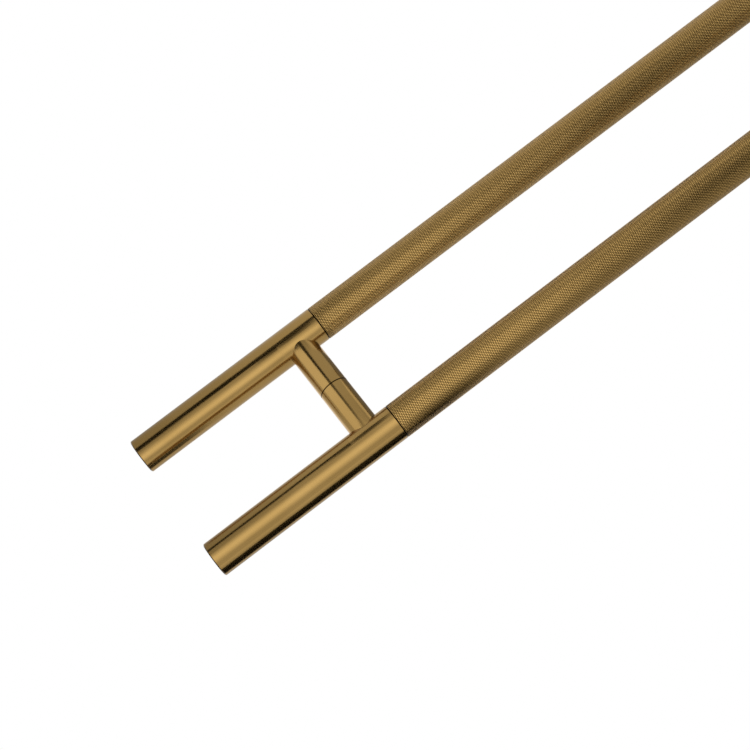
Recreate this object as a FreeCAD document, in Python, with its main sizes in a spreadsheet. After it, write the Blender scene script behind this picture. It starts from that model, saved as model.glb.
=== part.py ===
"""Back-to-back ladder pull handle: two knurled brass rails on split posts, clamped through a door.

Millimetres. The rails stand along Z, the posts lie along Y, and the origin is on the door line, midway up.
Every master piece belongs to the rear rail's lower end; the other ends are its mirror images.
"""
import FreeCAD, Part
import Sketcher
import math
import os

DRIVING = {
    # the rails, and where the posts hold them: standoff is from the door line to a rail's axis,
    # inset from a rail's end to a post's axis, and collar the plain stretch between post and grip
    "rail_length": 1200,
    "rail_diameter": 30,
    "rail_wall": 2,
    "standoff": 55,
    "post_inset": 155,
    "post_diameter": 25,
    "collar": 10,
    # broken edges, which draw the joint lines
    "joint_chamfer": 0.5,
    "end_chamfer": 0.8,
    "cap_chamfer": 0.3,
    "post_chamfer": 0.3,
    # pieces inside the tubes: the joiner runs from its heel, past the post, to its lap in the grip
    "cap_thickness": 5,
    "joiner_heel": 20,
    "joiner_lap": 40,
    "joiner_chamfer": 1,
    # post screws, whose tips reach past the rail's axis
    "screw_diameter": 8,
    "screw_reach": 4,
    "screw_chamfer": 0.8,
    "head_diameter": 13,
    "head_height": 8,
    "head_socket": 6,
    "head_socket_depth": 4,
    # sleeves and studs at the door line, with a gap between sleeve and screw head
    "sleeve_setback": 0.5,
    "sleeve_length": 10,
    "sleeve_gap": 2,
    "stud_diameter": 8,
    "stud_recess": 1,
    "stud_chamfer": 0.8,
    # grub screws, sunk below the side of the post
    "grub_diameter": 6,
    "grub_recess": 0.5,
    "grub_socket": 3,
    "grub_socket_depth": 1.8,
    # clearances, on the radius or on the face
    "press_gap": 0.05,
    "thread_gap": 0.05,
    "seat_gap": 0.05,
    "head_gap": 0.5,
    "hole_gap": 0.25,
}

WORKED_OUT = {
    "rail_radius": "driving.rail_diameter / 2",
    "rail_bore": "rail_radius - driving.rail_wall",
    "plug_radius": "rail_bore - driving.press_gap",
    "rail_foot": "-driving.rail_length / 2",
    "post_height": "rail_foot + driving.post_inset",
    "post_radius": "driving.post_diameter / 2",
    "plain_length": "driving.post_inset + post_radius + driving.collar",
    "grip_length": "driving.rail_length - 2 * plain_length",
    "joiner_foot": "driving.post_inset - driving.joiner_heel",
    "joiner_length": "plain_length + driving.joiner_lap - joiner_foot",
    "screw_radius": "driving.screw_diameter / 2",
    "screw_hole": "screw_radius + driving.hole_gap",
    "screw_thread_hole": "screw_radius + driving.thread_gap",
    "head_radius": "driving.head_diameter / 2",
    "post_bore": "head_radius + driving.head_gap",
    "sleeve_radius": "post_bore - driving.press_gap",
    "sleeve_far_end": "driving.sleeve_setback + driving.sleeve_length",
    "sleeve_middle": "driving.sleeve_setback + driving.sleeve_length / 2",
    "head_top": "sleeve_far_end + driving.sleeve_gap",
    "post_bore_depth": "head_top + driving.head_height",
    "screw_length": "driving.standoff + driving.screw_reach - head_top",
    "stud_radius": "driving.stud_diameter / 2",
    "stud_hole": "stud_radius + driving.thread_gap",
    "stud_half": "sleeve_far_end - driving.stud_recess",
    "grub_radius": "driving.grub_diameter / 2",
    "grub_hole": "grub_radius + driving.thread_gap",
    "grub_top": "post_radius - driving.grub_recess",
    "grub_length": "grub_top - sleeve_radius - driving.press_gap",
}

X_AXIS = FreeCAD.Vector(1, 0, 0)
Y_AXIS = FreeCAD.Vector(0, 1, 0)
Z_AXIS = FreeCAD.Vector(0, 0, 1)
UPRIGHT = FreeCAD.Rotation()
TOWARD_REAR = FreeCAD.Rotation(X_AXIS, -90)
TOWARD_FRONT = FreeCAD.Rotation(X_AXIS, 90)
INTO_POST_SIDE = FreeCAD.Rotation(Y_AXIS, -90)

doc = FreeCAD.newDocument("ladder_pull_handle")
nodes = []


def fill_sheet(name, cells):
    """A sheet with one named value on each row: its name in column A, the value in column B."""
    sheet = doc.addObject("Spreadsheet::Sheet", name)
    for row, (alias, value) in enumerate(cells.items(), start=1):
        sheet.set(f"A{row}", alias)
        sheet.set(f"B{row}", str(value))
        sheet.setAlias(f"B{row}", alias)
    doc.recompute()


def origin_plane(body, role):
    return next(feature for feature in body.Origin.OriginFeatures if feature.Role == role)


def new_sketch(body, role):
    sketch = body.newObject("Sketcher::SketchObject", "Sketch")
    sketch.AttachmentSupport = (origin_plane(body, role), [""])
    sketch.MapMode = "FlatFace"
    return sketch


def pin(sketch, geometry, point, across, up):
    """Fix one point of the sketch at two formulas, measured from the sketch's origin."""
    for kind, formula in (("DistanceX", across), ("DistanceY", up)):
        index = sketch.addConstraint(Sketcher.Constraint(kind, -1, 1, geometry, point, 1.0))
        sketch.setExpression(f"Constraints[{index}]", formula)


def outline(body, role, corners):
    """A closed outline of straight edges through corners given as pairs of formulas.

    The corners start on a rough circle, and their constraints bring them to their places.
    """
    sketch = new_sketch(body, role)
    count = len(corners)
    turn = 2 * math.pi / count
    rough = [FreeCAD.Vector(10 * math.cos(turn * i), 10 * math.sin(turn * i), 0) for i in range(count)]
    for i in range(count):
        sketch.addGeometry(Part.LineSegment(rough[i], rough[(i + 1) % count]))
    for i in range(count):
        sketch.addConstraint(Sketcher.Constraint("Coincident", i, 2, (i + 1) % count, 1))
    for i, (across, up) in enumerate(corners):
        pin(sketch, i, 1, across, up)
    return sketch


def circle(body, role, across, up, radius):
    sketch = new_sketch(body, role)
    sketch.addGeometry(Part.Circle(FreeCAD.Vector(), Z_AXIS, 1.0))
    pin(sketch, 0, 3, across, up)
    index = sketch.addConstraint(Sketcher.Constraint("Radius", 0, 1.0))
    sketch.setExpression(f"Constraints[{index}]", radius)
    return sketch


def hexagon(body, role, across_flats):
    corner = f"{across_flats} / sqrt(3)"
    angles = range(0, 360, 60)
    return outline(body, role, [(f"{corner} * cos({a} deg)", f"{corner} * sin({a} deg)") for a in angles])


def turned(label, corners):
    """A body turned about its own Z axis; the corners of its half section are (radius, height) formulas."""
    body = doc.addObject("PartDesign::Body", label)
    profile = outline(body, "XZ_Plane", corners)
    turning = body.newObject("PartDesign::Revolution", "Turning")
    turning.Profile = profile
    turning.ReferenceAxis = (profile, ["V_Axis"])
    turning.Angle = 360
    doc.recompute()
    return body


def cut(body, sketch, depth=None, both_ways=False, reverse=False):
    """A pocket from the sketch, to a depth or right through, which has to take something away."""
    volume = body.Shape.Volume
    pocket = body.newObject("PartDesign::Pocket", "Cut")
    pocket.Profile = sketch
    pocket.Reversed = reverse
    if depth is None:
        pocket.Type = "ThroughAll"
    else:
        pocket.setExpression("Length", depth)
    if both_ways:
        pocket.SideType = "Two sides"
        pocket.Type2 = "ThroughAll"
    doc.recompute()
    if not body.Shape.Volume < volume:
        raise RuntimeError(f"{body.Label}: a cut takes nothing away")


def place(body, rotation, **offsets):
    """Turn the body and move it along the named axes by formulas."""
    body.Placement = FreeCAD.Placement(FreeCAD.Vector(), rotation)
    for axis, formula in offsets.items():
        body.setExpression(f"Placement.Base.{axis}", formula)


def node(label, piece):
    piece.Label = label
    nodes.append(piece)
    return piece


def mirror_image(source, normal):
    image = doc.addObject("Part::Mirroring", "Image")
    image.Source = source
    image.Normal = normal
    return image


def group(label, members):
    compound = doc.addObject("Part::Compound", label)
    compound.Links = members
    return node(label, compound)


def on_every_end(kind, body):
    """The piece as a node at the rear rail's lower end, and its images at the other three ends."""
    rear = node(f"rear_lower_{kind}", body)
    front = node(f"front_lower_{kind}", mirror_image(rear, Y_AXIS))
    node(f"rear_upper_{kind}", mirror_image(rear, Z_AXIS))
    node(f"front_upper_{kind}", mirror_image(front, Z_AXIS))


def make_grip():
    """Tube of the knurled grip, with both edges broken at the joint lines."""
    body = turned("grip", [
        ("sizes.rail_bore", "0"),
        ("sizes.rail_radius - driving.joint_chamfer", "0"),
        ("sizes.rail_radius", "driving.joint_chamfer"),
        ("sizes.rail_radius", "sizes.grip_length - driving.joint_chamfer"),
        ("sizes.rail_radius - driving.joint_chamfer", "sizes.grip_length"),
        ("sizes.rail_bore", "sizes.grip_length"),
    ])
    place(body, UPRIGHT, y="driving.standoff", z="-sizes.grip_length / 2")
    rear = node("rear_grip", body)
    node("front_grip", mirror_image(rear, Y_AXIS))


def make_end_tube():
    """Plain end of a rail, with a hole in its wall where the post screw enters."""
    body = turned("end_tube", [
        ("sizes.rail_bore", "0"),
        ("sizes.rail_radius - driving.end_chamfer", "0"),
        ("sizes.rail_radius", "driving.end_chamfer"),
        ("sizes.rail_radius", "sizes.plain_length - driving.joint_chamfer"),
        ("sizes.rail_radius - driving.joint_chamfer", "sizes.plain_length"),
        ("sizes.rail_bore", "sizes.plain_length"),
    ])
    hole = circle(body, "XZ_Plane", "0", "driving.post_inset", "sizes.screw_hole")
    cut(body, hole, reverse=True)
    place(body, UPRIGHT, y="driving.standoff", z="sizes.rail_foot")
    on_every_end("end_tube", body)


def make_end_cap():
    """Disc pressed into the tube, flush with its end."""
    body = turned("end_cap", [
        ("0", "0"),
        ("sizes.plug_radius - driving.cap_chamfer", "0"),
        ("sizes.plug_radius", "driving.cap_chamfer"),
        ("sizes.plug_radius", "driving.cap_thickness"),
        ("0", "driving.cap_thickness"),
    ])
    place(body, UPRIGHT, y="driving.standoff", z="sizes.rail_foot")
    on_every_end("end_cap", body)


def make_joiner():
    """Bar inside the tubes that bridges the joint line and takes the post screw across it."""
    body = turned("joiner", [
        ("0", "0"),
        ("sizes.plug_radius - driving.joiner_chamfer", "0"),
        ("sizes.plug_radius", "driving.joiner_chamfer"),
        ("sizes.plug_radius", "sizes.joiner_length - driving.joiner_chamfer"),
        ("sizes.plug_radius - driving.joiner_chamfer", "sizes.joiner_length"),
        ("0", "sizes.joiner_length"),
    ])
    hole = circle(body, "XZ_Plane", "0", "driving.joiner_heel", "sizes.screw_thread_hole")
    cut(body, hole, both_ways=True)
    place(body, UPRIGHT, y="driving.standoff", z="sizes.rail_foot + sizes.joiner_foot")
    on_every_end("joiner", body)


def make_post(side, rotation, locked):
    """Half-post: bored from its door face, coped to the rail, and tapped for a grub screw if locked."""
    body = turned(f"{side}_post", [
        ("sizes.post_bore", "0"),
        ("sizes.post_radius - driving.post_chamfer", "0"),
        ("sizes.post_radius", "driving.post_chamfer"),
        ("sizes.post_radius", "driving.standoff"),
        ("sizes.screw_hole", "driving.standoff"),
        ("sizes.screw_hole", "sizes.post_bore_depth"),
        ("sizes.post_bore", "sizes.post_bore_depth"),
    ])
    cope = circle(body, "XZ_Plane", "0", "driving.standoff", "sizes.rail_radius + driving.seat_gap")
    cut(body, cope, both_ways=True)
    if locked:
        grub = circle(body, "YZ_Plane", "0", "sizes.sleeve_middle", "sizes.grub_hole")
        cut(body, grub, reverse=True)
    place(body, rotation, z="sizes.post_height")
    lower = node(f"{side}_lower_post", body)
    node(f"{side}_upper_post", mirror_image(lower, Z_AXIS))


def make_post_screws():
    """Socket cap screws, head in the post's bore and tip in the joiner."""
    body = turned("post_screw", [
        ("0", "0"),
        ("sizes.head_radius", "0"),
        ("sizes.head_radius", "driving.head_height"),
        ("sizes.screw_radius", "driving.head_height"),
        ("sizes.screw_radius", "sizes.screw_length - driving.screw_chamfer"),
        ("sizes.screw_radius - driving.screw_chamfer", "sizes.screw_length"),
        ("0", "sizes.screw_length"),
    ])
    socket = hexagon(body, "XY_Plane", "driving.head_socket")
    cut(body, socket, depth="driving.head_socket_depth", reverse=True)
    place(body, TOWARD_REAR, y="sizes.head_top", z="sizes.post_height")
    front = mirror_image(body, Y_AXIS)
    group("post_screws", [body, front, mirror_image(body, Z_AXIS), mirror_image(front, Z_AXIS)])


def make_sleeves(label, rotation):
    """Threaded sleeves in the bores of one side's posts, which take the studs."""
    body = turned("sleeve", [
        ("sizes.stud_hole", "driving.sleeve_setback"),
        ("sizes.sleeve_radius", "driving.sleeve_setback"),
        ("sizes.sleeve_radius", "sizes.sleeve_far_end"),
        ("sizes.stud_hole", "sizes.sleeve_far_end"),
    ])
    place(body, rotation, z="sizes.post_height")
    group(label, [body, mirror_image(body, Z_AXIS)])


def make_studs():
    """Studs that pass through the door from the front bush to the rear boss."""
    body = turned("through_stud", [
        ("0", "-sizes.stud_half"),
        ("sizes.stud_radius - driving.stud_chamfer", "-sizes.stud_half"),
        ("sizes.stud_radius", "-sizes.stud_half + driving.stud_chamfer"),
        ("sizes.stud_radius", "sizes.stud_half - driving.stud_chamfer"),
        ("sizes.stud_radius - driving.stud_chamfer", "sizes.stud_half"),
        ("0", "sizes.stud_half"),
    ])
    place(body, TOWARD_REAR, z="sizes.post_height")
    group("through_studs", [body, mirror_image(body, Z_AXIS)])


def make_grub_screws():
    """Socket grub screws in the rear posts' far side, tight on the locking bosses."""
    body = turned("grub_screw", [
        ("0", "0"),
        ("sizes.grub_radius", "0"),
        ("sizes.grub_radius", "sizes.grub_length"),
        ("0", "sizes.grub_length"),
    ])
    socket = hexagon(body, "XY_Plane", "driving.grub_socket")
    cut(body, socket, depth="driving.grub_socket_depth", reverse=True)
    place(body, INTO_POST_SIDE, x="sizes.grub_top", y="sizes.sleeve_middle", z="sizes.post_height")
    group("grub_screws", [body, mirror_image(body, Z_AXIS)])


def check_document():
    for item in doc.Objects:
        if "Invalid" in item.State or "Error" in item.State:
            raise RuntimeError(f"{item.Label} failed: {item.State}")
    for piece in nodes:
        if piece.Shape.isNull() or not piece.Shape.isValid():
            raise RuntimeError(f"{piece.Label} has no sound shape")


def write_parts():
    os.makedirs("parts", exist_ok=True)
    for piece in nodes:
        piece.Shape.exportStep(f"parts/{piece.Label}.step")


fill_sheet("driving", DRIVING)
fill_sheet("sizes", {alias: f"={formula}" for alias, formula in WORKED_OUT.items()})
make_grip()
make_end_tube()
make_end_cap()
make_joiner()
make_post("rear", TOWARD_REAR, locked=True)
make_post("front", TOWARD_FRONT, locked=False)
make_post_screws()
make_sleeves("threaded_bushes", TOWARD_FRONT)
make_sleeves("locking_bosses", TOWARD_REAR)
make_studs()
make_grub_screws()
doc.recompute()
check_document()
write_parts()
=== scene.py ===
import math

import bpy
from mathutils import Matrix, Vector


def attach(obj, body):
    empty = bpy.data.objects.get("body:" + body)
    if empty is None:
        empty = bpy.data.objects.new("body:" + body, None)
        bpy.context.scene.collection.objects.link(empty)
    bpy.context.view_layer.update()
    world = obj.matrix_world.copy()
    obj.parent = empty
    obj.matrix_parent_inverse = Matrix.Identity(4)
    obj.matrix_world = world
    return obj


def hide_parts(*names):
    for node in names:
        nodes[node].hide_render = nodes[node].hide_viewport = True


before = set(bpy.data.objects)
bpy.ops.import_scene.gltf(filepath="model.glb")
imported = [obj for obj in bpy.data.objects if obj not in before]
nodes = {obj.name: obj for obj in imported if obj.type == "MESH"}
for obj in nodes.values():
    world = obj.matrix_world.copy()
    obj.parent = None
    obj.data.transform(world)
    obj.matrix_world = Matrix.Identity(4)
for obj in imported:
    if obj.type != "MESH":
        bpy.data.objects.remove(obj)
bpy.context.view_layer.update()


# Knurled grips
# The long middle of each rail, a brass tube with a fine diamond knurl rolled into it from joint to joint.
# It is pushed over a joiner at each end, and a small chamfer there makes half of the dark joint line.

rail_y = 0.055
grip_radius = 0.0150
grip_bore = 0.0130
grip_half_length = 0.4225
joint_chamfer = 0.0005
# Diamonds round the grip and their length along it, which puts the grooves about 1.3 mm apart.
knurl_around = 60
knurl_length = 0.00228
knurl_depth = 0.00012
# Shares of that depth, from the crests down: where the rubbed metal ends and where full patina begins.
rubbed_down_to = 0.54
patina_from = 0.70
knurl_cloud_size = 0.030
# Places closer than this count as one.
near = 1e-5


def select_where(thing, element, test):
    """In edit mode, select the vertices, or the edges by their two ends, that pass the test."""
    bpy.ops.mesh.select_all(action="DESELECT")
    bpy.ops.mesh.select_mode(type=element)
    bpy.ops.object.mode_set(mode="OBJECT")
    mesh = thing.data
    if element == "VERT":
        for vertex in mesh.vertices:
            vertex.select = test(vertex.co)
    else:
        for edge in mesh.edges:
            edge.select = test(*(mesh.vertices[i].co for i in edge.vertices))
    bpy.ops.object.mode_set(mode="EDIT")


def new_grip(name, y):
    """A grip tube round the rail axis at that y, with its knurl, chamfered ends and bore."""
    axis = (0, y, 0)
    columns = 2 * knurl_around
    knurled = 2 * (grip_half_length - joint_chamfer)
    bands = round(knurled / knurl_length)
    band = knurled / bands
    low = -knurled / 2
    groove_radius = grip_radius - knurl_depth
    lip_radius = grip_radius - joint_chamfer

    def column(point):
        return round(math.atan2(point.y - y, point.x) / (2 * math.pi / columns))

    def row(point):
        return round((point.z - low) / (band / 2))

    def reach(point):
        return math.hypot(point.x, point.y - y)

    def to_radius(new, old):
        bpy.ops.transform.resize(value=(new / old, new / old, 1), center_override=axis)

    bpy.ops.object.select_all(action="DESELECT")
    bpy.ops.mesh.primitive_cylinder_add(
        vertices=columns, radius=grip_radius, depth=band, end_fill_type="NOTHING",
        location=(0, y, low + band / 2))
    grip = bpy.context.object
    grip.name = grip.data.name = name
    bpy.ops.object.transform_apply(location=True, rotation=True, scale=True)

    # One band of the knurl: every second point is sunk, and each square folds along the groove between
    # its two sunk points, which leaves a pyramid at each of the others.
    bpy.ops.object.mode_set(mode="EDIT")
    select_where(grip, "EDGE", lambda a, b: abs(a.z - b.z) > band / 2)
    bpy.ops.mesh.subdivide(number_cuts=1)
    select_where(grip, "VERT", lambda p: (column(p) + row(p)) % 2 == 1)
    to_radius(groove_radius, grip_radius)
    bpy.ops.mesh.select_all(action="SELECT")
    bpy.ops.mesh.quads_convert_to_tris(quad_method="SHORTEST_DIAGONAL", ngon_method="BEAUTY")
    bpy.ops.object.mode_set(mode="OBJECT")

    # The band is repeated from joint to joint.
    repeat = grip.modifiers.new("bands", "ARRAY")
    repeat.count = bands
    repeat.use_relative_offset = False
    repeat.use_constant_offset = True
    repeat.constant_offset_displace = (0, 0, band)
    repeat.use_merge_vertices = True
    repeat.merge_threshold = band / 50
    bpy.ops.object.modifier_apply(modifier=repeat.name)

    # The ends: chamfer, end face and bore.
    bpy.ops.object.mode_set(mode="EDIT")
    for end in (-1, 1):
        rim_z = end * (grip_half_length - joint_chamfer)
        end_z = end * grip_half_length
        select_where(grip, "EDGE", lambda a, b: abs(a.z - rim_z) < near and abs(b.z - rim_z) < near)
        bpy.ops.mesh.extrude_edges_move(TRANSFORM_OT_translate={"value": (0, 0, end_z - rim_z)})
        for radius in (grip_radius, groove_radius):
            select_where(grip, "VERT", lambda p: abs(p.z - end_z) < near and abs(reach(p) - radius) < near)
            to_radius(lip_radius, radius)
        select_where(grip, "EDGE", lambda a, b: abs(a.z - end_z) < near and abs(b.z - end_z) < near)
        bpy.ops.mesh.extrude_edges_move()
        to_radius(grip_bore, lip_radius)
    select_where(grip, "EDGE", lambda a, b: all(
        abs(abs(p.z) - grip_half_length) < near and reach(p) < grip_bore + near for p in (a, b)))
    bpy.ops.mesh.bridge_edge_loops()
    bpy.ops.mesh.select_all(action="SELECT")
    bpy.ops.mesh.normals_make_consistent(inside=False)
    bpy.ops.object.mode_set(mode="OBJECT")
    return grip


def linear(colour):
    """An sRGB hex colour as linear RGBA."""
    channels = [int(colour[i:i + 2], 16) / 255 for i in (1, 3, 5)]
    return [c / 12.92 if c <= 0.04045 else ((c + 0.055) / 1.055) ** 2.4 for c in channels] + [1]


def new_material(name):
    """A new material and its node tree."""
    material = bpy.data.materials.new(name)
    material.use_nodes = True
    return material, material.node_tree


def add_node(tree, kind, inputs=None, **settings):
    """Add a node with its settings; an input is a constant or the output socket that feeds it."""
    node = tree.nodes.new(kind)
    for name, value in settings.items():
        setattr(node, name, value)
    for socket, value in (inputs or {}).items():
        if isinstance(value, bpy.types.NodeSocket):
            tree.links.new(value, node.inputs[socket])
        else:
            node.inputs[socket].default_value = value
    return node


def from_rail_axis(tree, place):
    """The output socket that gives the distance from the axis of the nearer rail."""
    parts = add_node(tree, "ShaderNodeSeparateXYZ", {0: place.outputs["Object"]})
    side = add_node(tree, "ShaderNodeMath", {0: parts.outputs["Y"]}, operation="ABSOLUTE")
    off_axis = add_node(tree, "ShaderNodeMath", {0: side.outputs[0], 1: rail_y}, operation="SUBTRACT")
    spoke = add_node(tree, "ShaderNodeCombineXYZ", {"X": parts.outputs["X"], "Y": off_axis.outputs[0]})
    return add_node(tree, "ShaderNodeVectorMath", {0: spoke.outputs[0]}, operation="LENGTH").outputs["Value"]


# Antique brass with a rolled knurl: crests rubbed bright, grooves left with dark patina.
knurled_brass, tree = new_material("antique_brass_rolled_knurl")
shader = tree.nodes["Principled BSDF"]
place = add_node(tree, "ShaderNodeTexCoord")
crest = add_node(tree, "ShaderNodeMapRange", {
    "Value": from_rail_axis(tree, place),
    "From Min": grip_radius - patina_from * knurl_depth,
    "From Max": grip_radius - rubbed_down_to * knurl_depth})
cloud = add_node(tree, "ShaderNodeTexNoise", {
    "Vector": place.outputs["Object"], "Scale": 1 / knurl_cloud_size, "Detail": 3.0})
rubbed = add_node(tree, "ShaderNodeMix", {
    "Factor": cloud.outputs["Fac"], "A": linear("#ECC074"), "B": linear("#F8CA7B")}, data_type="RGBA")
colour = add_node(tree, "ShaderNodeMix", {
    "Factor": crest.outputs[0], "A": linear("#2E210C"), "B": rubbed.outputs["Result"]}, data_type="RGBA")
rough = add_node(tree, "ShaderNodeMapRange", {
    "Value": crest.outputs[0], "To Min": 0.40, "To Max": 0.28})
tree.links.new(colour.outputs["Result"], shader.inputs["Base Color"])
tree.links.new(rough.outputs[0], shader.inputs["Roughness"])
shader.inputs["Metallic"].default_value = 1.0

for name, y in (("front_grip", -rail_y), ("rear_grip", rail_y)):
    grip = new_grip(name + "_knurled", y)
    grip.data.materials.append(knurled_brass)
    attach(grip, "root")
    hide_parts(name)


# End tubes
# The plain ends of the rails, drawn brass tube, polished lengthwise to a satin, toned brown and lacquered.
# Each is pushed over its joiner and carries the hole for the post screw, under the post.

brass_dark = "#96763F"
brass_mid = "#AA8A52"
brass_light = "#BA985E"
brass_patina = "#3A2912"
satin_cloud_size = 0.040
# Polishing lines are about 0.1 mm wide, drawn 0.8 mm wide and 50 mm long so that they show.
polish_line_width = 0.0008
polish_line_length = 0.05
# Half widths of the patina left at the joint with the grip and at the tube's end.
joint_patina = 0.0009
end_patina = 0.0010
rail_end = 0.6


def satin_brass(name, along, seams):
    """Antique brass, satin polished along the given direction: soft lines, faint brown clouds.
    Dark patina is left at the seams, each given as a distance from the middle along that direction
    and a half width."""
    material, tree = new_material(name)
    shader = tree.nodes["Principled BSDF"]
    place = add_node(tree, "ShaderNodeTexCoord")
    cloud = add_node(tree, "ShaderNodeTexNoise", {
        "Vector": place.outputs["Object"], "Scale": 1 / satin_cloud_size, "Detail": 3.0})
    line_size = [polish_line_length if axis == along else polish_line_width for axis in "XYZ"]
    stretched = add_node(tree, "ShaderNodeMapping", {
        "Vector": place.outputs["Object"], "Scale": [1 / size for size in line_size]})
    lines = add_node(tree, "ShaderNodeTexNoise", {
        "Vector": stretched.outputs[0], "Scale": 1.0, "Detail": 2.0})
    tone = add_node(tree, "ShaderNodeMix", {
        "Factor": cloud.outputs["Fac"], "A": linear(brass_dark), "B": linear(brass_light)},
        data_type="RGBA")
    colour = add_node(tree, "ShaderNodeMix", {
        "Factor": lines.outputs["Fac"], "A": tone.outputs["Result"], "B": linear(brass_mid)},
        data_type="RGBA")
    parts = add_node(tree, "ShaderNodeSeparateXYZ", {0: place.outputs["Object"]})
    from_middle = add_node(tree, "ShaderNodeMath", {0: parts.outputs[along]}, operation="ABSOLUTE")
    for distance, half_width in seams:
        apart = add_node(tree, "ShaderNodeMath", {
            0: from_middle.outputs[0], 1: distance}, operation="SUBTRACT")
        apart = add_node(tree, "ShaderNodeMath", {0: apart.outputs[0]}, operation="ABSOLUTE")
        caught = add_node(tree, "ShaderNodeMapRange", {
            "Value": apart.outputs[0], "From Min": half_width / 2, "From Max": half_width,
            "To Min": 1.0, "To Max": 0.0}, interpolation_type="SMOOTHSTEP")
        colour = add_node(tree, "ShaderNodeMix", {
            "Factor": caught.outputs[0], "A": colour.outputs["Result"], "B": linear(brass_patina)},
            data_type="RGBA")
    rough = add_node(tree, "ShaderNodeMapRange", {
        "Value": lines.outputs["Fac"], "From Min": 0.3, "From Max": 0.7, "To Min": 0.15, "To Max": 0.22})
    relief = add_node(tree, "ShaderNodeBump", {
        "Height": lines.outputs["Fac"], "Strength": 0.05, "Distance": 0.0002})
    tree.links.new(colour.outputs["Result"], shader.inputs["Base Color"])
    tree.links.new(rough.outputs[0], shader.inputs["Roughness"])
    tree.links.new(relief.outputs[0], shader.inputs["Normal"])
    shader.inputs["Metallic"].default_value = 1.0
    return material


def finish_with(material, names):
    """Put the material on the CAD nodes of those names."""
    for name in names:
        for slot in nodes[name].material_slots:
            slot.material = material


rail_seams = ((grip_half_length, joint_patina), (rail_end, end_patina))
rail_brass = satin_brass("antique_brass_satin_along_rail", "Z", rail_seams)
ends = [side + "_" + level for side in ("front", "rear") for level in ("lower", "upper")]
finish_with(rail_brass, [end + "_end_tube" for end in ends])


# End caps
# Brass discs pressed into the tube ends flush with the rim.
# They are faced on the lathe, toned brown like the tubes and lacquered, with patina left in the joint.

cap_radius = 0.0130
cap_joint = 0.0004
cap_cloud_size = 0.012
# The facing cut leaves a ring every 0.1 mm, drawn every 0.5 mm so that the rings show.
ring_pitch = 0.0005

# Antique brass, faced: soft rings round the rail's axis, faint brown clouds, a dark line at the joint.
cap_brass, tree = new_material("antique_brass_faced")
shader = tree.nodes["Principled BSDF"]
place = add_node(tree, "ShaderNodeTexCoord")
off_axis = from_rail_axis(tree, place)
rings = add_node(tree, "ShaderNodeTexNoise", {
    "W": off_axis, "Scale": 1 / ring_pitch, "Detail": 1.0}, noise_dimensions="1D")
cloud = add_node(tree, "ShaderNodeTexNoise", {
    "Vector": place.outputs["Object"], "Scale": 1 / cap_cloud_size, "Detail": 3.0})
tone = add_node(tree, "ShaderNodeMix", {
    "Factor": cloud.outputs["Fac"], "A": linear(brass_dark), "B": linear(brass_light)}, data_type="RGBA")
colour = add_node(tree, "ShaderNodeMix", {
    "Factor": rings.outputs["Fac"], "A": tone.outputs["Result"], "B": linear(brass_mid)}, data_type="RGBA")
caught = add_node(tree, "ShaderNodeMapRange", {
    "Value": off_axis, "From Min": cap_radius - cap_joint, "From Max": cap_radius - cap_joint / 2},
    interpolation_type="SMOOTHSTEP")
colour = add_node(tree, "ShaderNodeMix", {
    "Factor": caught.outputs[0], "A": colour.outputs["Result"], "B": linear(brass_patina)},
    data_type="RGBA")
rough = add_node(tree, "ShaderNodeMapRange", {
    "Value": rings.outputs["Fac"], "From Min": 0.3, "From Max": 0.7, "To Min": 0.18, "To Max": 0.30})
relief = add_node(tree, "ShaderNodeBump", {
    "Height": rings.outputs["Fac"], "Strength": 0.15, "Distance": 0.0002})
tree.links.new(colour.outputs["Result"], shader.inputs["Base Color"])
tree.links.new(rough.outputs[0], shader.inputs["Roughness"])
tree.links.new(relief.outputs[0], shader.inputs["Normal"])
shader.inputs["Metallic"].default_value = 1.0
finish_with(cap_brass, [end + "_end_cap" for end in ends])


# Posts
# Solid brass half-posts, coped to sit on the rail and split at the door line, with patina left in the split.
# They are polished along their length, toned brown and lacquered. A screw in the bore pulls each to its rail.

split_patina = 0.0007
post_brass = satin_brass("antique_brass_satin_along_post", "Y", ((0.0, split_patina),))
finish_with(post_brass, [end + "_post" for end in ends])


# Joiners, bushes and bosses
# Bars and sleeves that carry the screws, hidden inside the rails and posts.
# They are bare brass turned on the lathe, left bright with fine tool rings.

# The tool leaves a ring every 0.1 mm, drawn every 0.6 mm so that the rings show.
tool_ring_pitch = 0.0006
# The wave texture repeats every 0.314 m at a scale of 1.
wave_repeat = 0.314

turned_brass, tree = new_material("bare_brass_turned")
shader = tree.nodes["Principled BSDF"]
place = add_node(tree, "ShaderNodeTexCoord")
rings = add_node(tree, "ShaderNodeTexWave", {
    "Vector": place.outputs["Object"], "Scale": wave_repeat / tool_ring_pitch}, bands_direction="Z")
rough = add_node(tree, "ShaderNodeMapRange", {"Value": rings.outputs["Fac"], "To Min": 0.22, "To Max": 0.34})
tree.links.new(rough.outputs[0], shader.inputs["Roughness"])
shader.inputs["Base Color"].default_value = linear("#CBAA63")
shader.inputs["Metallic"].default_value = 1.0
finish_with(turned_brass, [end + "_joiner" for end in ends] + ["threaded_bushes", "locking_bosses"])


# Screws and studs
# Zinc-plated steel fasteners that pull the posts on to the rails and tie the two halves together.
# The posts hide them, except for the sockets of the two grub screws.

# The plating's mottle is finer than 1 mm and drawn that wide.
mottle_size = 0.001

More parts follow.
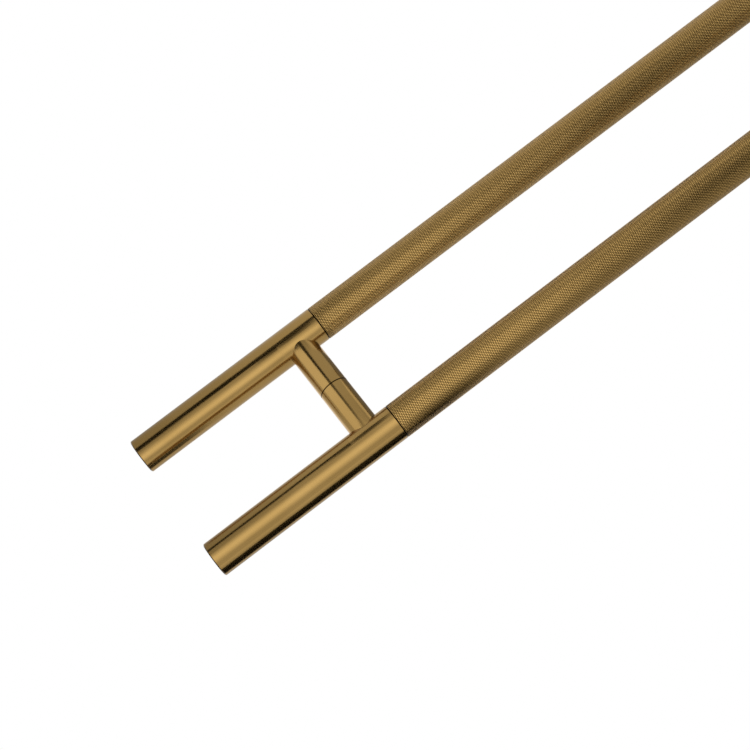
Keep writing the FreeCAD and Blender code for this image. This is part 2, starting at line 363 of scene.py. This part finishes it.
zinc_steel, tree = new_material("steel_zinc_plated")
shader = tree.nodes["Principled BSDF"]
place = add_node(tree, "ShaderNodeTexCoord")
mottle = add_node(tree, "ShaderNodeTexNoise", {"Vector": place.outputs["Object"], "Scale": 1 / mottle_size})
rough = add_node(tree, "ShaderNodeMapRange", {"Value": mottle.outputs["Fac"], "To Min": 0.25, "To Max": 0.45})
tree.links.new(rough.outputs[0], shader.inputs["Roughness"])
shader.inputs["Base Color"].default_value = linear("#B9BABB")
shader.inputs["Metallic"].default_value = 1.0
finish_with(zinc_steel, ["post_screws", "through_studs", "grub_screws"])


# Floor
# A pale studio floor, as far below the handle as a door pull hangs above the ground.
# It fades to the white of the background away from the handle, and keeps the handle's soft shadow.

floor_z = -1.05
floor_radius = 12.0
fade_start = 0.25
fade_end = 0.85

bpy.ops.object.select_all(action="DESELECT")
bpy.ops.mesh.primitive_circle_add(
    vertices=96, radius=floor_radius, fill_type="NGON", location=(0, 0, floor_z))
floor = bpy.context.object
floor.name = floor.data.name = "floor"
bpy.ops.object.transform_apply(location=True, rotation=True, scale=True)
pale, tree = new_material("pale_floor_paint")
tree.nodes.remove(tree.nodes["Principled BSDF"])
place = add_node(tree, "ShaderNodeTexCoord")
level = add_node(tree, "ShaderNodeVectorMath", {
    0: place.outputs["Object"], 1: (1, 1, 0)}, operation="MULTIPLY")
reach = add_node(tree, "ShaderNodeVectorMath", {0: level.outputs[0]}, operation="LENGTH")
far = add_node(tree, "ShaderNodeMapRange", {
    "Value": reach.outputs["Value"], "From Min": fade_start, "From Max": fade_end,
    "To Min": 0.35, "To Max": 1.0}, interpolation_type="SMOOTHSTEP")
matt = add_node(tree, "ShaderNodeBsdfDiffuse", {"Color": linear("#E6E6E6")})
glow = add_node(tree, "ShaderNodeEmission", {"Color": linear("#FFFFFF"), "Strength": 1.0})
both = add_node(tree, "ShaderNodeMixShader", {
    "Fac": far.outputs[0], 1: matt.outputs[0], 2: glow.outputs[0]})
tree.links.new(both.outputs[0], tree.nodes["Material Output"].inputs["Surface"])
floor.data.materials.append(pale)


# Studio
# A white background, and round the handle a grey cloth tent with soft boxes, which only the metal shows.
# Dark flags, paler beside the grips, draw the lines along the rails. Small cards light and shade the posts.

tent_radius = 1.8
tent_height = 3.6
tent_middle_z = 0.75
soft_box_facing = (0.893, 0.45, 0)
fill_strip_facing = (0.208, 0.978, 0)
flag_behind_facing = (0.990, 0.139, 0)
flag_front_facing = (-0.406, 0.914, 0)
post_height = 0.445
# The cards over and under a post lie along the light that reaches the camera, in degrees from the X axis.
card_slant = 25.2
card_drop = 0.017
card_rise = 0.030
flag_rise = 0.028
facing_flag_rise = 0.0075

world = bpy.data.worlds.new("studio")
bpy.context.scene.world = world
world.use_nodes = True
tree = world.node_tree
rays = add_node(tree, "ShaderNodeLightPath")
seen = add_node(tree, "ShaderNodeMath", {
    0: rays.outputs["Is Camera Ray"], 1: rays.outputs["Is Glossy Ray"]}, operation="MAXIMUM")
seen = add_node(tree, "ShaderNodeMath", {
    0: seen.outputs[0], 1: rays.outputs["Is Transmission Ray"]}, operation="MAXIMUM")
level = add_node(tree, "ShaderNodeMapRange", {"Value": seen.outputs[0], "To Min": 0.4, "To Max": 1.0})
tree.nodes["Background"].inputs["Color"].default_value = linear("#FFFFFF")
tree.links.new(level.outputs[0], tree.nodes["Background"].inputs["Strength"])


def only_reflected(thing):
    """Hide a thing from all but reflections."""
    thing.visible_camera = False
    thing.visible_diffuse = False
    thing.visible_shadow = False


def card(name, centre, facing, width, height, middle, rim, turn=0.0, grip_glow=None, fade=None):
    """A flat card that only reflections see, from its front, turned in its own plane by some degrees.
    Its glow goes from middle to rim across its width. A grip glow takes its place beside the grips, and
    fade holds the two heights, up or down from the handle's middle, between which one turns to the other."""
    bpy.ops.object.select_all(action="DESELECT")
    bpy.ops.mesh.primitive_plane_add(size=1, location=centre)
    sheet = bpy.context.object
    sheet.name = sheet.data.name = name
    flat_turn = Matrix.Rotation(math.radians(turn), 3, "Z")
    sheet.rotation_euler = (Vector(facing).to_track_quat("Z", "Y").to_matrix() @ flat_turn).to_euler()
    sheet.scale = (width, height, 1)
    bpy.ops.object.transform_apply(location=True, rotation=True, scale=True)
    cloth, tree = new_material(name + "_cloth")
    tree.nodes.remove(tree.nodes["Principled BSDF"])
    place = add_node(tree, "ShaderNodeTexCoord")
    across = add_node(tree, "ShaderNodeSeparateXYZ", {0: place.outputs["UV"]})
    off = add_node(tree, "ShaderNodeMath", {0: across.outputs["X"], 1: 0.5}, operation="SUBTRACT")
    off = add_node(tree, "ShaderNodeMath", {0: off.outputs[0]}, operation="ABSOLUTE")
    level = add_node(tree, "ShaderNodeMapRange", {
        "Value": off.outputs[0], "From Min": 0.0, "From Max": 0.5, "To Min": middle, "To Max": rim},
        interpolation_type="SMOOTHSTEP")
    if grip_glow is not None:
        along = add_node(tree, "ShaderNodeSeparateXYZ", {0: place.outputs["Object"]})
        along = add_node(tree, "ShaderNodeMath", {0: along.outputs["Z"]}, operation="ABSOLUTE")
        level = add_node(tree, "ShaderNodeMapRange", {
            "Value": along.outputs[0], "From Min": fade[0], "From Max": fade[1],
            "To Min": grip_glow, "To Max": level.outputs[0]}, interpolation_type="SMOOTHSTEP")
    glow = add_node(tree, "ShaderNodeEmission", {"Color": linear("#FFFFFF"), "Strength": level.outputs[0]})
    clear = add_node(tree, "ShaderNodeBsdfTransparent")
    side = add_node(tree, "ShaderNodeNewGeometry")
    both = add_node(tree, "ShaderNodeMixShader", {
        "Fac": side.outputs["Backfacing"], 1: glow.outputs[0], 2: clear.outputs[0]})
    tree.links.new(both.outputs[0], tree.nodes["Material Output"].inputs["Surface"])
    sheet.data.materials.append(cloth)
    only_reflected(sheet)


bpy.ops.object.select_all(action="DESELECT")
bpy.ops.mesh.primitive_cylinder_add(
    vertices=128, radius=tent_radius, depth=tent_height, end_fill_type="NOTHING",
    location=(0, 0, tent_middle_z))
tent = bpy.context.object
tent.name = tent.data.name = "tent"
bpy.ops.object.transform_apply(location=True, rotation=True, scale=True)
cloth, tree = new_material("tent_cloth")
tree.nodes.remove(tree.nodes["Principled BSDF"])
place = add_node(tree, "ShaderNodeTexCoord")
parts = add_node(tree, "ShaderNodeSeparateXYZ", {0: place.outputs["Object"]})
front = add_node(tree, "ShaderNodeMapRange", {
    "Value": parts.outputs["Z"], "From Min": 0.0, "From Max": 0.9, "To Min": 0.74, "To Max": 0.30})
rear = add_node(tree, "ShaderNodeMapRange", {
    "Value": parts.outputs["Z"], "From Min": -0.75, "From Max": -0.25, "To Min": 0.42, "To Max": 0.85})
back = add_node(tree, "ShaderNodeMapRange", {
    "Value": parts.outputs["Y"], "From Min": -1.0, "From Max": 0.6}, interpolation_type="SMOOTHSTEP")
level = add_node(tree, "ShaderNodeMix", {
    "Factor": back.outputs[0], "A": front.outputs[0], "B": rear.outputs[0]})
glow = add_node(tree, "ShaderNodeEmission", {"Color": linear("#FFFFFF"), "Strength": level.outputs[0]})
tree.links.new(glow.outputs[0], tree.nodes["Material Output"].inputs["Surface"])
tent.data.materials.append(cloth)
only_reflected(tent)

for end in (-1, 1):
    card("soft_box", (-0.278, -0.140, 0.575 * end), soft_box_facing, 0.40, 0.85, 1.5, 0.68)
    card("fill_strip", (-0.104, -0.544, 0.58 * end), fill_strip_facing, 0.20, 0.84, 0.95, 0.68)
    card("flag_end", (0.27, -0.42, 0.6325 * end), (-0.55, 0.84, 0), 0.30, 0.135, 0.0, 0.0)
card("soft_box_gap", (-0.278, -0.140, 0.0), soft_box_facing, 0.40, 0.30, 0.16, 0.30)
card("soft_box_behind", (0.281, 0.131, 0.0), (-0.906, -0.4226, 0), 0.30, 2.0, 1.3, 0.6)
card("fill_strip_gap", (-0.104, -0.544, 0.0), fill_strip_facing, 0.50, 0.32, 0.05, 0.25)
card("flag_behind", (-0.2061, 0.1511, 0.0), flag_behind_facing, 0.12, 2.0, 0.0, 0.0,
     grip_glow=0.50, fade=(0.375, 0.395))
card("flag_front", (0.01125, -0.09215, 0.0), flag_front_facing, 0.032, 1.5, 0.0, 0.0,
     grip_glow=0.48, fade=(0.30, 0.395))
card("flag_front_grip", (-0.01255, -0.10265, 0.0), flag_front_facing, 0.020, 0.82, 0.20, 0.20,
     grip_glow=0.45, fade=(0.30, 0.37))
for post_z in (-post_height, post_height):
    card("card_under_post", (-0.0315, 0.0, post_z - card_drop), (0, 0, 1), 0.037, 0.090, 1.15, 1.15)
    card("card_under_far", (-0.0777, 0.0314, post_z - card_drop), (0, 0, 1), 0.105, 0.081, 1.15, 1.15,
         turn=-card_slant)
    card("card_over_post", (-0.0997, 0.0406, post_z + card_rise), (0, 0, -1), 0.182, 0.0788, 0.65, 0.65,
         turn=card_slant)
    card("flag_over_post", (0.012, 0.0, post_z + flag_rise), (0, 0, -1), 0.040, 0.078, 0.24, 0.24)
    card("flag_facing_post", (-0.1945, 0.0664, post_z + facing_flag_rise), flag_behind_facing,
         0.0538, 0.075, 0.16, 0.16)

bpy.ops.object.light_add(type="AREA", location=(-0.8, -0.8, 2.6), rotation=(0.31, -0.22, 0))
lamp = bpy.context.object
lamp.name = "overhead_soft_box"
lamp.data.shape = "DISK"
lamp.data.size = 2.2
lamp.data.energy = 60.0
lamp.visible_glossy = False
lamp.visible_camera = False


# Camera
# Level with the handle's lower end, on the front rail's side and turned away from side-on.
# It is rolled so that the rails climb to the right.

camera_place = Vector((-1.30731, -0.62677, -0.50470))
camera_view = Vector((0.9030, 0.42495, 0.06337))
camera_roll = math.radians(52.914)
bpy.ops.object.camera_add(location=camera_place)
camera = bpy.context.object
level_turn = camera_view.to_track_quat("-Z", "Y").to_matrix()
camera.rotation_euler = (level_turn @ Matrix.Rotation(camera_roll, 3, "Z")).to_euler()
camera.data.sensor_width = 36.0
camera.data.lens = 87.955
camera.data.clip_start = 0.01
bpy.context.scene.camera = camera
bpy.context.scene.view_settings.view_transform = "Standard"
